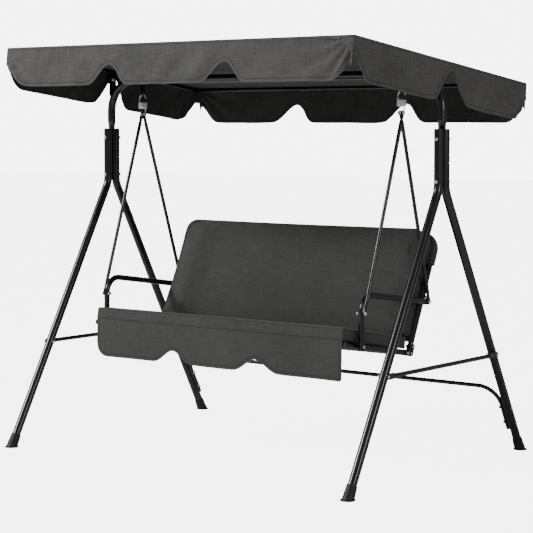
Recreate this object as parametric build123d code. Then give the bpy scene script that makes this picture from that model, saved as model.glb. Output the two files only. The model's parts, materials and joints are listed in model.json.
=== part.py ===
from build123d import *
from math import acos, atan, atan2, cos, degrees, pi, radians, sin, tan
import os

os.makedirs("parts", exist_ok=True)

# A three-seat garden swing bench with a tilting canopy. Millimetres, Z up, X along the bench,
# the front towards -Y. The origin is on the floor under the middle of the stand.
# Left and right are as seen from the front: right is +X.

# ---------------------------------------------------------------- driving dimensions
seat_clear = 0.3            # gap between pieces that lie against each other
hinge_clear = 0.05          # radial gap of a bolt in the holes it turns in

# Stand
stand_half_width = 786      # middle of the stand to the plane of an A-frame
foot_reach = 573            # middle of the stand to a foot, along Y
leg_d = 32
leg_wall = 1.2
leg_top = 1219
leg_bend_height = 1005      # where the straight top of a leg would meet its sloping part
leg_bend_radius = 100
beam_d = 32
beam_wall = 1.5
beam_height = 1415          # centre line of the top beam
beam_bend_radius = 125
crimp_thickness = 12.4      # flattened beam end between the two legs
crimp_bottom = 1012
crimp_ease = 29             # length over which the beam goes from round to flat
top_bolt_drop = 34          # from the top of the legs to the upper bolt
top_bolt_spacing = 150
plug_thickness = 2
plug_depth = 12

# Foot caps
cap_length = 52             # along the leg
cap_top_d = 37
cap_bottom_d = 43
cap_flange_d = 52
cap_flange_thickness = 5
cap_floor = 14              # height of the leg's end on its centre line
cap_clear = 0.15

# Braces between the legs
brace_d = 16
brace_wall = 1.2
brace_height = 387
flat_thickness = 3          # a flattened brace end
flat_width = 22
cross_bar_height = 253
cross_bar_end_height = 87
cross_bar_bend_radius = 80
cross_bar_bolt_heights = (172, 111)

# Spring lugs and springs
spring_x = 617
lug_thickness = 4
lug_radius = 12
lug_hole_height = 1359
lug_hole_r = 5.5
wire_d = 4.9
coil_d = 36.3
coil_top = 1328
coil_bottom = 1299
coil_turns = 6
upper_hook_r = 15.7
lower_hook_r = 11.5
hook_clear = 0.4
apex_height = 1278          # bolt that joins the two hanger rods to the spring

# Hanger rods
rod_d = 14
rod_wall = 1.2
rod_flat_thickness = 4
rod_flat_width = 16
rod_flat_length = 18        # from the bolt to where the rod starts to round out
rod_ease = 22
rod_lean_clear = 0.3        # the rods lean a little, so their bolts sit this far off them

# Seat and back frame
frame_d = 22
frame_wall = 1.2
frame_half_width = 581
seat_front_y = -310
seat_front_z = 474.5
seat_slope = 10             # degrees, down towards the back
seat_depth = 422.4          # seat front to the foot of the back frame
rail_overhang = 16
rail_plug_depth = 9
front_rail_at = 15          # along the side rail
rear_rail_at = 366
back_recline = 24.5         # degrees from vertical
back_length = 460
back_start = 5              # the tube's cut end, up from the side rail's centre line
back_corner_radius = 60
bracket_thickness = 3
bracket_bolt_step = 24
sling_thickness = 2
sling_half_width = 590

# Armrests
arm_post_y = -230
arm_front_height = 645      # where the post would meet the sloping arm
arm_slope = 8.2             # degrees, down towards the back
arm_bend_radius = 60
arm_post_bottom = 447
arm_flat_thickness = 4
arm_round_end_y = 150
arm_flat_start_y = 178
arm_back_bolt_at = 215.4    # along the back frame
rear_hanger_y = 217
rear_hanger_z = 582
front_hanger_z = 577

# Cushions
seat_cushion_half_width = 585
seat_cushion_front = -8     # along the side rail
seat_cushion_rear = 400
seat_cushion_front_top = 57
seat_cushion_rear_top = 60
back_cushion_half_width = 580
back_cushion_bottom = 55
back_cushion_top = 452
back_cushion_face = 79      # in front of the back frame's centre line
back_cushion_corner = 55
hood_bottom = 348
hood_thickness = 3
valance_bottom = 343        # height of the seat valance's lobes
valance_notch_top = 390
valance_notch_x = 195
valance_half_width = 575

# Canopy
canopy_half_width = 806
canopy_half_depth = 575.6
canopy_pivot_height = 1419
canopy_tilt = 6.8           # degrees, front edge up
canopy_roof_rise = 42       # outside of the roof above the pivot
canopy_fabric = 2
canopy_skirt = 150          # roof to the bottom of a lobe
canopy_notch = 74           # roof to the top of a notch
canopy_notch_x = 269
canopy_bar_d = 18
canopy_bar_wall = 1
connector_reach = 20
connector_stub = 30
tilt_plate = 4
tilt_gap = 0.4
knob_d = 35

# Fasteners: shank radius, head radius, head height, nut across flats, nut height
M8 = (4.0, 7.25, 5.0, 13.0, 6.5)
M6 = (3.0, 5.4, 3.4, 10.0, 5.0)
bolt_clear = 0.3
thread_past_nut = 2


# ---------------------------------------------------------------- helpers
def save(name, solid):
    solid.label = name
    export_step(solid, os.path.join("parts", name + ".step"))


def save_pair(name, right):
    save(name + "_right", right)
    save(name + "_left", mirror(right, about=Plane.YZ))


def group(solids):
    return Compound(children=list(solids))


def rod(start, end, radius):
    along = Vector(end) - Vector(start)
    return extrude(Plane(origin=start, z_dir=along) * Circle(radius), amount=along.length)


def across(y, z, radius, half_length=900):
    """A cutter along X."""
    return rod((-half_length, y, z), (half_length, y, z), radius)


def bent(points, bend, radius):
    """A round bar along straight runs joined by bends."""
    path = FilletPolyline(*points, radius=bend)
    return sweep(Plane(origin=path @ 0, z_dir=path % 0) * Circle(radius), path=path)


def bent_tube(points, bend, diameter, wall):
    return bent(points, bend, diameter / 2) - bent(points, bend, diameter / 2 - wall)


def straight_tube(start, end, diameter, wall):
    return rod(start, end, diameter / 2) - rod(start, end, diameter / 2 - wall)


def bolt(seat, direction, grip, size):
    """A domed bolt. seat is the middle of the face under its head."""
    shank_r, head_r, head_h, _, nut_h = size
    length = grip + nut_h + thread_past_nut
    head = Cylinder(head_r, head_h, align=(Align.CENTER, Align.CENTER, Align.MAX))
    head = fillet(head.edges().group_by(Axis.Z)[0], head_h * 0.85)
    shank = Cylinder(shank_r, length, align=(Align.CENTER, Align.CENTER, Align.MIN))
    return Plane(origin=seat, z_dir=direction).location * (head + shank)


def nut(seat, direction, size):
    """A hexagon nut whose face at seat looks back along direction."""
    shank_r, _, _, flats, nut_h = size
    blank = extrude(RegularPolygon(flats / 2, 6, major_radius=False), amount=nut_h)
    blank -= Cylinder(shank_r + hinge_clear, nut_h * 3)
    return Plane(origin=seat, z_dir=direction).location * blank


def plate(outline, x_from, x_to):
    """A plate square to X from a face drawn with its own x as Y and its own y as Z."""
    upright = Plane(origin=(x_from, 0, 0), x_dir=(0, 1, 0), z_dir=(1, 0, 0))
    return extrude(upright * outline, amount=x_to - x_from)


def hull_of(circles):
    """The outline around circles given as (y, z, radius)."""
    edges = [(Pos(y, z) * Circle(r)).edge() for y, z, r in circles]
    return make_hull(edges)


def flat_ended_tube(first, last, diameter, wall, thickness, width, flat, ease, hole_r):
    """A tube whose ends are pressed flat, square to X, and drilled at first and last."""
    along = Vector(last) - Vector(first)
    length = along.length
    frame = Plane(origin=first, x_dir=Vector(1, 0, 0) - along * (along.X / length**2), z_dir=along)
    inner_r = diameter / 2 - wall
    round_from = flat + ease
    body = Pos(0, 0, round_from) * Cylinder(
        diameter / 2, length - 2 * round_from, align=(Align.CENTER, Align.CENTER, Align.MIN)
    )
    body -= Pos(0, 0, round_from) * Cylinder(
        inner_r, length - 2 * round_from, align=(Align.CENTER, Align.CENTER, Align.MIN)
    )
    tip = Pos(0, 0, flat / 2) * Box(thickness, width, flat)
    tip += Rot(0, 90, 0) * Cylinder(width / 2, thickness)
    tip -= Rot(0, 90, 0) * Cylinder(hole_r, thickness * 3)
    flat_section = Pos(0, 0, flat) * Ellipse(thickness / 2, width / 2)
    round_section = Pos(0, 0, round_from) * Circle(diameter / 2)
    tip += loft([flat_section.face(), round_section.face()])
    far_tip = Pos(0, 0, length) * Rot(180, 0, 0) * tip
    return frame.location * (body + tip + far_tip)


# ---------------------------------------------------------------- stand
leg_y = crimp_thickness / 2 + seat_clear + leg_d / 2
leg_slope = (foot_reach - leg_y) / leg_bend_height
leg_lean = atan(leg_slope)
leg_up = Vector(0, -sin(leg_lean), cos(leg_lean))   # up along a rear leg
leg_outer_x = stand_half_width + leg_d / 2
leg_inner_x = stand_half_width - leg_d / 2
top_bolt_heights = (leg_top - top_bolt_drop, leg_top - top_bolt_drop - top_bolt_spacing)
brace_y = foot_reach - leg_slope * brace_height


def leg_y_at(z):
    return foot_reach - leg_slope * z


def make_rear_leg():
    """The right rear leg, drilled for the beam, the side brace and the rear cross bar."""
    end = cap_floor + seat_clear
    points = [
        (stand_half_width, leg_y, leg_top),
        (stand_half_width, leg_y, leg_bend_height),
        (stand_half_width, leg_y_at(end), end),
    ]
    leg = bent_tube(points, leg_bend_radius, leg_d, leg_wall)
    for z in top_bolt_heights:
        leg -= rod((stand_half_width, 0, z), (stand_half_width, leg_d * 2, z), M8[0] + bolt_clear)
    leg -= across(brace_y, brace_height, M6[0] + bolt_clear)
    return leg


def make_foot_cap():
    """The right rear cap: a cup that leans with the leg and a flange flat on the floor."""
    foot = Vector(stand_half_width, foot_reach, 0)
    below = 15
    taper = (cap_bottom_d - cap_top_d) / 2 / cap_length
    low_r = cap_bottom_d / 2 + taper * below
    low = Plane(origin=foot - leg_up * below, z_dir=leg_up)
    high = Plane(origin=foot + leg_up * cap_length, z_dir=leg_up)
    cup = loft([(low * Circle(low_r)).face(), (high * Circle(cap_top_d / 2)).face()])
    flange = Pos(*foot) * Cylinder(
        cap_flange_d / 2, cap_flange_thickness, align=(Align.CENTER, Align.CENTER, Align.MIN)
    )
    flange = fillet(flange.edges().group_by(Axis.Z)[-1], cap_flange_thickness * 0.4)
    floor_cut = Pos(stand_half_width, foot_reach, -50) * Box(200, 200, 100)
    bore_from = foot + leg_up * (cap_floor / cos(leg_lean))
    bore = rod(bore_from, foot + leg_up * cap_length * 2, leg_d / 2 + cap_clear)
    return cup + flange - floor_cut - bore


def make_beam():
    """The top beam: bent down at both ends, which are pressed flat between the legs."""
    flat_top = leg_top + plug_thickness + 1
    round_bottom = flat_top + crimp_ease
    x = stand_half_width
    points = [(-x, 0, round_bottom), (-x, 0, beam_height), (x, 0, beam_height), (x, 0, round_bottom)]

    def solid(inset):
        bar = bent(points, beam_bend_radius, beam_d / 2 - inset)
        for side in (-x, x):
            long_r = beam_d / 2 - inset
            short_r = crimp_thickness / 2 - inset
            round_face = (Pos(side, 0, round_bottom) * Circle(long_r)).face()
            flat_face = (Pos(side, 0, flat_top) * Ellipse(long_r, short_r)).face()
            bar += loft([flat_face, round_face])
            bar += extrude(flat_face, amount=crimp_bottom - flat_top, dir=(0, 0, 1))
        return bar

    beam = solid(0) - solid(beam_wall)
    for z in top_bolt_heights:
        for side in (-x, x):
            beam -= rod((side, -leg_d, z), (side, leg_d, z), M8[0] + bolt_clear)
    return beam


rear_leg_right = make_rear_leg()
front_leg_right = mirror(rear_leg_right, about=Plane.XZ)
cross_bar_x = leg_inner_x - brace_d / 2 - seat_clear
for z in cross_bar_bolt_heights:
    rear_leg_right -= across(leg_y_at(z), z, M6[0] + bolt_clear)
save_pair("rear_leg", rear_leg_right)
save_pair("front_leg", front_leg_right)

foot_cap = make_foot_cap()
save_pair("foot_cap_rear", foot_cap)
save_pair("foot_cap_front", mirror(foot_cap, about=Plane.XZ))

save("top_beam", make_beam())

leg_plug = Cylinder(leg_d / 2, plug_thickness, align=(Align.CENTER, Align.CENTER, Align.MIN))
leg_plug += Cylinder(
    leg_d / 2 - leg_wall - cap_clear, plug_depth, align=(Align.CENTER, Align.CENTER, Align.MAX)
)
corners = [(sx * stand_half_width, sy * leg_y) for sx in (-1, 1) for sy in (-1, 1)]
save("leg_end_plugs", group(Pos(x, y, leg_top) * leg_plug for x, y in corners))

leg_pack = leg_y + leg_d / 2    # half of leg, beam end and leg together
sides = (-stand_half_width, stand_half_width)
bolt_spots = [(x, z) for x in sides for z in top_bolt_heights]
save("leg_top_bolts", group(bolt((x, -leg_pack, z), (0, 1, 0), 2 * leg_pack, M8) for x, z in bolt_spots))
stand_nuts = [nut((x, leg_pack, z), (0, 1, 0), M8) for x, z in bolt_spots]

# Side braces lie on the outer faces of the legs.
brace_x = leg_outer_x + seat_clear + flat_thickness / 2
side_brace = flat_ended_tube(
    (brace_x, -brace_y, brace_height),
    (brace_x, brace_y, brace_height),
    brace_d,
    brace_wall,
    flat_thickness,
    flat_width,
    28,
    22,
    M6[0] + bolt_clear,
)
save_pair("side_brace", side_brace)

# The rear cross bar turns down along the inner faces of the rear legs.
cross_points = [
    (side * cross_bar_x, leg_y_at(z), z)
    for side, z in (
        (-1, cross_bar_end_height),
        (-1, cross_bar_height),
        (1, cross_bar_height),
        (1, cross_bar_end_height),
    )
]
cross_bar = bent_tube(cross_points, cross_bar_bend_radius, brace_d, brace_wall)
for z in cross_bar_bolt_heights:
    cross_bar -= across(leg_y_at(z), z, M6[0] + bolt_clear)
save("rear_cross_bar", cross_bar)

bar_plug = Cylinder(brace_d / 2, plug_thickness, align=(Align.CENTER, Align.CENTER, Align.MIN))
bar_plug += Cylinder(
    brace_d / 2 - brace_wall - cap_clear, plug_depth, align=(Align.CENTER, Align.CENTER, Align.MAX)
)
bar_plugs = [
    Plane(origin=(side * cross_bar_x, leg_y_at(cross_bar_end_height), cross_bar_end_height),
          z_dir=-leg_up).location * bar_plug
    for side in (-1, 1)
]
save("cross_bar_end_plugs", group(bar_plugs))

lower_bolts = []
for side in (-1, 1):
    inward = (-side, 0, 0)
    brace_seat = brace_x + flat_thickness / 2
    for y in (-brace_y, brace_y):
        lower_bolts.append(bolt((side * brace_seat, y, brace_height), inward, brace_seat - leg_inner_x, M6))
        stand_nuts.append(nut((side * leg_inner_x, y, brace_height), inward, M6))
    bar_inner = cross_bar_x - brace_d / 2
    for z in cross_bar_bolt_heights:
        y = leg_y_at(z)
        lower_bolts.append(bolt((side * leg_outer_x, y, z), inward, leg_outer_x - bar_inner, M6))
        stand_nuts.append(nut((side * bar_inner, y, z), inward, M6))
save("lower_frame_bolts", group(lower_bolts))
save("stand_nuts", group(stand_nuts))

# ---------------------------------------------------------------- spring lugs and springs
beam_bottom = beam_height - beam_d / 2
beam_bar = rod((-stand_half_width, 0, beam_height), (stand_half_width, 0, beam_height), beam_d / 2)
lug_outline = hull_of([(0, lug_hole_height, lug_radius), (0, beam_bottom, lug_radius + 2)])
lug = plate(lug_outline, spring_x - lug_thickness / 2, spring_x + lug_thickness / 2)
lug -= beam_bar
lug -= Pos(0, 0, beam_height + beam_d / 2) * Box(2000, 60, beam_d)
lug -= across(0, lug_hole_height, lug_hole_r)
save_pair("spring_lug", lug.solids().sort_by(Axis.Z)[0])

wire_r = wire_d / 2
pivot_height = lug_hole_height - lug_hole_r + wire_r + hook_clear   # axis of the swing


def hook(start, centre, radius, side, turn):
    """Wire in the local XY plane from start, straight to a circle, then round it by turn degrees."""
    dx, dy = start[0] - centre[0], start[1] - centre[1]
    reach = (dx**2 + dy**2) ** 0.5
    touch = atan2(dy, dx) + side * acos(min(1.0, radius / reach))
    begin = Vector(centre[0] + radius * cos(touch), centre[1] + radius * sin(touch))
    arc = CenterArc(centre, radius, degrees(touch), side * turn)
    path = Wire([Line(start, begin).edge(), arc.edge()])
    section = Plane(origin=path @ 0, z_dir=path % 0) * Circle(wire_r)
    return sweep(section, path=path)


def make_spring():
    """A close-wound extension spring. The turns are rings, so that it stays a plain solid."""
    ring_r = coil_d / 2 - wire_r
    low = coil_bottom + wire_r
    pitch = (coil_top - coil_bottom - wire_d) / (coil_turns - 1)
    section = Sketch() + [Pos(ring_r, low + i * pitch) * Circle(wire_r) for i in range(coil_turns)]
    coil = revolve(Plane.XZ * section, axis=Axis.Z)
    top_ring = low + (coil_turns - 1) * pitch
    upper = Plane.XZ * hook((-ring_r, top_ring), (0, pivot_height - upper_hook_r), upper_hook_r, -1, 185)
    loop_middle = apex_height - M8[0] - wire_r - 0.1 + lower_hook_r
    lower = Plane.YZ * hook((ring_r, low), (0, loop_middle), lower_hook_r, -1, 215)
    return Pos(spring_x, 0, 0) * (coil + upper + lower)


save_pair("spring", make_spring())

# ---------------------------------------------------------------- seat and back frame
seat_place = Pos(0, seat_front_y, seat_front_z) * Rot(-seat_slope, 0, 0)
back_foot = (seat_place * Pos(0, seat_depth, 0)).position
back_place = Pos(0, back_foot.Y, back_foot.Z) * Rot(-back_recline, 0, 0)
frame_r = frame_d / 2
rail_outer_x = frame_half_width + frame_r
rail_inner_x = frame_half_width - frame_r


def on_rail(distance):
    """The point (Y, Z) on the side rail's centre line, from its front."""
    p = (seat_place * Pos(0, distance, 0)).position
    return p.Y, p.Z


def on_back(distance):
    """The point (Y, Z) on the back frame's centre line, from its foot."""
    p = (back_place * Pos(0, 0, distance)).position
    return p.Y, p.Z


arm_x = rail_outer_x + seat_clear + frame_r
post_bolt_z = on_rail((arm_post_y - seat_front_y) / cos(radians(seat_slope)))[1]
corner_bolts = [
    on_rail(seat_depth - bracket_bolt_step),
    on_rail(seat_depth),
    on_back(bracket_bolt_step + 2),
]
arm_back_bolt = on_back(arm_back_bolt_at)
rail_bolt_holes = corner_bolts[:2] + [(arm_post_y, post_bolt_z)]

rail_start, rail_end = 4, seat_depth + rail_overhang
side_rail = seat_place * straight_tube(
    (frame_half_width, rail_start, 0), (frame_half_width, rail_end, 0), frame_d, frame_wall
)
for y, z in rail_bolt_holes:
    side_rail -= across(y, z, M6[0] + bolt_clear)
save_pair("seat_side_rail", side_rail)

# A rail end is shaped to the side rail that it is welded to.
rail_notch = seat_place * rod(
    (frame_half_width, -20, 0), (frame_half_width, seat_depth + 60, 0), frame_r + seat_clear
)
rail_notches = rail_notch + mirror(rail_notch, about=Plane.YZ)
for name, at in (("seat_front_rail", front_rail_at), ("seat_rear_rail", rear_rail_at)):
    ends = ((-frame_half_width, at, 0), (frame_half_width, at, 0))
    save(name, seat_place * straight_tube(*ends, frame_d, frame_wall) - rail_notches)

rail_plug = Cylinder(frame_r, plug_thickness, align=(Align.CENTER, Align.CENTER, Align.MIN))
rail_plug += Cylinder(
    frame_r - frame_wall - cap_clear, rail_plug_depth, align=(Align.CENTER, Align.CENTER, Align.MAX)
)
rail_plugs = []
for x in (-frame_half_width, frame_half_width):
    rail_plugs.append(seat_place * Pos(x, rail_start, 0) * Rot(90, 0, 0) * rail_plug)
    rail_plugs.append(seat_place * Pos(x, rail_end, 0) * Rot(-90, 0, 0) * rail_plug)
save("seat_rail_plugs", group(rail_plugs))

w = frame_half_width
back_points = [
    (-w, 0, back_start),
    (-w, 0, back_length),
    (w, 0, back_length),
    (w, 0, back_start),
]
back_frame = back_place * bent_tube(back_points, back_corner_radius, frame_d, frame_wall)
back_frame -= rail_notches
for y, z in (corner_bolts[2], arm_back_bolt):
    back_frame -= across(y, z, M6[0] + bolt_clear)
save("back_frame", back_frame.solids().sort_by(SortBy.VOLUME)[-1])

bracket_x = rail_outer_x + seat_clear
bracket = plate(hull_of([(y, z, 10) for y, z in corner_bolts]), bracket_x, bracket_x + bracket_thickness)
for y, z in corner_bolts:
    bracket -= across(y, z, M6[0] + bolt_clear)
save_pair("seat_corner_bracket", bracket)

# ---------------------------------------------------------------- armrests
arm_fall = tan(radians(arm_slope))


def arm_height(y):
    return arm_front_height - arm_fall * (y - arm_post_y)


def make_armrest():
    """Post, bend and arm in one tube, whose rear end is pressed flat against the back frame."""
    points = [
        (arm_x, arm_post_y, arm_post_bottom),
        (arm_x, arm_post_y, arm_front_height),
        (arm_x, arm_round_end_y, arm_height(arm_round_end_y)),
    ]
    arm = bent_tube(points, arm_bend_radius, frame_d, frame_wall)
    flat_from = rail_outer_x + seat_clear
    flat_to = flat_from + arm_flat_thickness
    down_arm = (0, cos(radians(arm_slope)), -sin(radians(arm_slope)))
    round_end = Plane(origin=points[-1], x_dir=(1, 0, 0), z_dir=down_arm)
    flat_end = Plane(
        origin=((flat_from + flat_to) / 2, arm_flat_start_y, arm_height(arm_flat_start_y)),
        x_dir=(1, 0, 0),
        z_dir=down_arm,
    )
    round_face = (round_end * Circle(frame_r)).face()
    flat_face = (flat_end * Ellipse(arm_flat_thickness / 2, frame_r + 2)).face()
    arm += loft([round_face, flat_face])
    tab = hull_of([
        (arm_flat_start_y, arm_height(arm_flat_start_y), frame_r + 1),
        (*arm_back_bolt, frame_r),
        (rear_hanger_y, rear_hanger_z, frame_r),
    ])
    arm += plate(tab, flat_from, flat_to)
    arm -= across(arm_post_y, post_bolt_z, M6[0] + bolt_clear)
    arm -= across(*arm_back_bolt, M6[0] + bolt_clear)
    arm -= across(rear_hanger_y, rear_hanger_z, M8[0] + bolt_clear)
    return arm - across(arm_post_y, front_hanger_z, M8[0] + bolt_clear)


save_pair("armrest", make_armrest())

# ---------------------------------------------------------------- hanger rods
hook_gap = wire_d / 2 + 0.25
front_apex_x = spring_x + hook_gap + rod_flat_thickness / 2
rear_apex_x = spring_x - hook_gap - rod_flat_thickness / 2
arm_outer_x = arm_x + frame_r
front_low_x = arm_outer_x + seat_clear + rod_flat_thickness / 2
tab_outer_x = rail_outer_x + seat_clear + arm_flat_thickness
rear_low_x = tab_outer_x + 0.5 + rod_flat_thickness / 2
rod_sizes = (rod_d, rod_wall, rod_flat_thickness, rod_flat_width, rod_flat_length, rod_ease)
save_pair("hanger_front", flat_ended_tube(
    (front_apex_x, 0, apex_height), (front_low_x, arm_post_y, front_hanger_z), *rod_sizes, M8[0] + 0.2
))
save_pair("hanger_rear", flat_ended_tube(
    (rear_apex_x, 0, apex_height), (rear_low_x, rear_hanger_y, rear_hanger_z), *rod_sizes, M8[0] + 0.2
))

# Bolts of the seat, each with its nut on the inner side: (size, Y, Z, outer face, inner face)
half_flat = rod_flat_thickness / 2 + rod_lean_clear
hanger_joints = [
    (M8, 0, apex_height, front_apex_x + half_flat, rear_apex_x - half_flat),
    (M8, arm_post_y, front_hanger_z, front_low_x + half_flat, arm_x - frame_r),
    (M8, rear_hanger_y, rear_hanger_z, rear_low_x + half_flat, rail_outer_x + seat_clear),
]
frame_joints = [(M6, y, z, bracket_x + bracket_thickness, rail_inner_x) for y, z in corner_bolts]
frame_joints.append((M6, arm_post_y, post_bolt_z, arm_outer_x, rail_inner_x))
frame_joints.append((M6, *arm_back_bolt, tab_outer_x, rail_inner_x))
nuts = []
for prefix, joints in (("hanger", hanger_joints), ("seat_frame", frame_joints)):
    bolts = []
    for size, y, z, outer, inner in joints:
        for side in (-1, 1):
            bolts.append(bolt((side * outer, y, z), (-side, 0, 0), outer - inner, size))
            nuts.append(nut((side * inner, y, z), (-side, 0, 0), size))
    save(prefix + "_bolts", group(bolts))
save("seat_nuts", group(nuts))

# ---------------------------------------------------------------- slings and cushions
sling_bottom = frame_r + seat_clear
cushion_bottom = sling_bottom + sling_thickness + seat_clear


def slab(half_width, low, high, thickness, corner):
    """A flat panel in the local XY plane between low and high, with rounded corners."""
    size = high - low
    outline = RectangleRounded(2 * half_width, size, corner)
    return Pos(0, (low + high) / 2, 0) * extrude(outline, amount=thickness)


seat_sling = slab(sling_half_width, 6, seat_cushion_rear - 15, sling_thickness, 12)
save("seat_sling", seat_place * Pos(0, 0, sling_bottom) * seat_sling)
# Turned so that its own Y runs up the back and its own Z towards the sitter.
back_face = back_place * Rot(90, 0, 0)
back_sling = slab(sling_half_width, 40, back_length - 5, sling_thickness, 60)
save("back_sling", back_face * Pos(0, 0, sling_bottom) * back_sling)

profile = make_face(Polyline(
    (seat_cushion_front, cushion_bottom),
    (seat_cushion_front, seat_cushion_front_top),
    (seat_cushion_rear, seat_cushion_rear_top),
    (seat_cushion_rear, cushion_bottom),
    close=True,
))
seat_pad = plate(profile, -seat_cushion_half_width, seat_cushion_half_width)
seat_pad = fillet(seat_pad.edges().filter_by(Axis.Z), 4)
seat_pad = fillet(seat_pad.edges().group_by(Axis.Z)[-1], 3)
save("seat_cushion", seat_place * seat_pad)

pad_thickness = back_cushion_face - cushion_bottom
back_pad = slab(
    back_cushion_half_width, back_cushion_bottom, back_cushion_top, pad_thickness, back_cushion_corner
)
back_pad = fillet(back_pad.edges().group_by(Axis.Z)[-1], 15)
# The hood is a pocket that slips over the top of the back frame.
hood_inner_w = rail_outer_x + seat_clear
hood_inner_top = back_length + frame_r + seat_clear
hood_inner_corner = back_corner_radius + frame_r
hood_depth = frame_r + seat_clear + hood_thickness


def hood_block(grow, low, high):
    """A block as wide as the back frame plus grow, rounded at its top corners only."""
    corner = hood_inner_corner + grow
    top = hood_inner_top + grow
    long_panel = slab(hood_inner_w + grow, hood_bottom - 2 * corner, top, high - low, corner)
    trim = Pos(0, hood_bottom - 2 * corner, 0) * Box(2000, 4 * corner, 400)
    return Pos(0, 0, low) * long_panel - trim


hood = hood_block(hood_thickness, -hood_depth, cushion_bottom)
hood -= hood_block(0, hood_thickness - hood_depth, cushion_bottom + 10)
back_cushion = Pos(0, 0, cushion_bottom) * back_pad + hood
# The pad's back is widened at the top, so that it closes the hood in front.
lid = hood_block(hood_thickness, cushion_bottom, cushion_bottom + hood_thickness)
save("back_cushion", back_face * (back_cushion + lid))


def skirt(half_width, top, bottom, notch_top, notches, end_rise, flank, tip):
    """A hanging panel whose hem has a notch at each x in notches and may rise at its ends."""
    hem = [(-half_width, top), (-half_width, bottom + end_rise)]
    radii = [tip]
    if end_rise > tip:
        hem.append((-half_width + flank, bottom))
        radii.append(30)
    for x in notches:
        hem += [(x - flank, bottom), (x, notch_top), (x + flank, bottom)]
        radii += [30, tip, 30]
    if end_rise > tip:
        hem.append((half_width - flank, bottom))
        radii.append(30)
    hem += [(half_width, bottom + end_rise), (half_width, top)]
    radii.append(tip)
    line = FilletPolyline(*hem, radius=radii)
    return make_face(line + Line(hem[-1], hem[0]))


valance_top = (seat_place * Pos(0, -2, cushion_bottom)).position.Z - seat_clear
valance = skirt(
    valance_half_width, valance_top, valance_bottom, valance_notch_top,
    (-valance_notch_x, valance_notch_x), 0, 70, 12,
)
valance_plane = Plane(origin=(0, seat_front_y - 1, 0), x_dir=(1, 0, 0), z_dir=(0, -1, 0))
save("seat_valance", extrude(valance_plane * valance, amount=sling_thickness))

# ---------------------------------------------------------------- canopy
canopy_place = Pos(0, 0, canopy_pivot_height) * Rot(-canopy_tilt, 0, 0)
bar_r = canopy_bar_d / 2
roof_under = canopy_roof_rise - canopy_fabric
bar_rise = roof_under - seat_clear - bar_r
bar_x = canopy_half_width - canopy_fabric - seat_clear - bar_r
bar_y = canopy_half_depth - canopy_fabric - seat_clear - bar_r
x_end = bar_x - connector_reach
y_end = bar_y - connector_reach
for name, y in (("canopy_front_bar", -bar_y), ("canopy_rear_bar", bar_y)):
    bar = straight_tube((-x_end, y, bar_rise), (x_end, y, bar_rise), canopy_bar_d, canopy_bar_wall)
    save(name, canopy_place * bar)
side_bar = straight_tube(
    (bar_x, -y_end, bar_rise), (bar_x, y_end, bar_rise), canopy_bar_d, canopy_bar_wall
)
save_pair("canopy_side_bar", canopy_place * side_bar)

stub_r = bar_r - canopy_bar_wall - cap_clear
elbow = Sphere(bar_r)
for along in ((-1, 0, 0), (0, -1, 0)):
    reach = Vector(along)
    elbow += rod((0, 0, 0), reach * connector_reach, bar_r)
    elbow += rod((0, 0, 0), reach * (connector_reach + connector_stub), stub_r)
elbows = [Pos(bar_x, bar_y, bar_rise) * elbow]
elbows.append(mirror(elbows[0], about=Plane.XZ))
elbows += [mirror(e, about=Plane.YZ) for e in elbows]
save("canopy_corner_connectors", group(canopy_place * e for e in elbows))

# Two plates share the pivot bolt: one stands on the beam, the other hangs from the side bar.
hang_outer_x = bar_x - bar_r - seat_clear
hang_inner_x = hang_outer_x - tilt_plate
post_outer_x = hang_inner_x - tilt_gap
post_inner_x = post_outer_x - tilt_plate
hang_plate = plate(hull_of([(0, 0, 16), (-22, bar_rise, 6), (22, bar_rise, 6)]), hang_inner_x, hang_outer_x)
hang_plate -= across(0, 0, M8[0] + hinge_clear)
save_pair("canopy_tilt_bracket", canopy_place * hang_plate)

beam_points = [
    (-stand_half_width, 0, leg_top + 60),
    (-stand_half_width, 0, beam_height),
    (stand_half_width, 0, beam_height),
    (stand_half_width, 0, leg_top + 60),
]
beam_solid = bent(beam_points, beam_bend_radius, beam_d / 2)
bend_middle_x = stand_half_width - beam_bend_radius
bend_outer_r = beam_bend_radius + beam_d / 2
post_foot = beam_height - beam_bend_radius + (
    bend_outer_r**2 - (post_outer_x - bend_middle_x) ** 2
) ** 0.5
post = plate(
    hull_of([(0, canopy_pivot_height, 18), (0, post_foot, 20)]), post_inner_x, post_outer_x
)
post -= beam_solid
post -= Pos(0, 0, post_foot - 12 - 100) * Box(2000, 100, 200)
post -= across(0, canopy_pivot_height, M8[0] + hinge_clear)
save_pair("canopy_post_bracket", post.solids().sort_by(Axis.Z)[-1])

knob_inner_x = hang_outer_x + tilt_gap
knob_outer_x = canopy_half_width - canopy_fabric - 2
knob_length = knob_outer_x - knob_inner_x
bolt_reach = knob_outer_x - post_inner_x - 3
pivot_bolt = Cylinder(M8[0], bolt_reach, align=(Align.CENTER, Align.CENTER, Align.MIN))
pivot_bolt += fillet(
    Cylinder(8, 4, align=(Align.CENTER, Align.CENTER, Align.MAX)).edges().group_by(Axis.Z)[0], 3
)
pivot_bolts = [
    Plane(origin=(side * post_inner_x, 0, canopy_pivot_height), z_dir=(side, 0, 0)).location * pivot_bolt
    for side in (-1, 1)
]
save("canopy_pivot_bolts", group(pivot_bolts))

knob = Cylinder(knob_d / 2, knob_length, align=(Align.CENTER, Align.CENTER, Align.MIN))
knob = fillet(knob.edges().group_by(Axis.Z)[-1], 3)
for i in range(8):
    knob -= Rot(0, 0, i * 45) * Pos(knob_d / 2 + 2, 0, 0) * Cylinder(4.5, knob_length * 3)
knob -= Cylinder(M8[0] + hinge_clear, 2 * (knob_length - 2))
knob_place = Plane(origin=(knob_inner_x, 0, canopy_pivot_height), z_dir=(1, 0, 0)).location
save_pair("canopy_knob", knob_place * knob)

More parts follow.
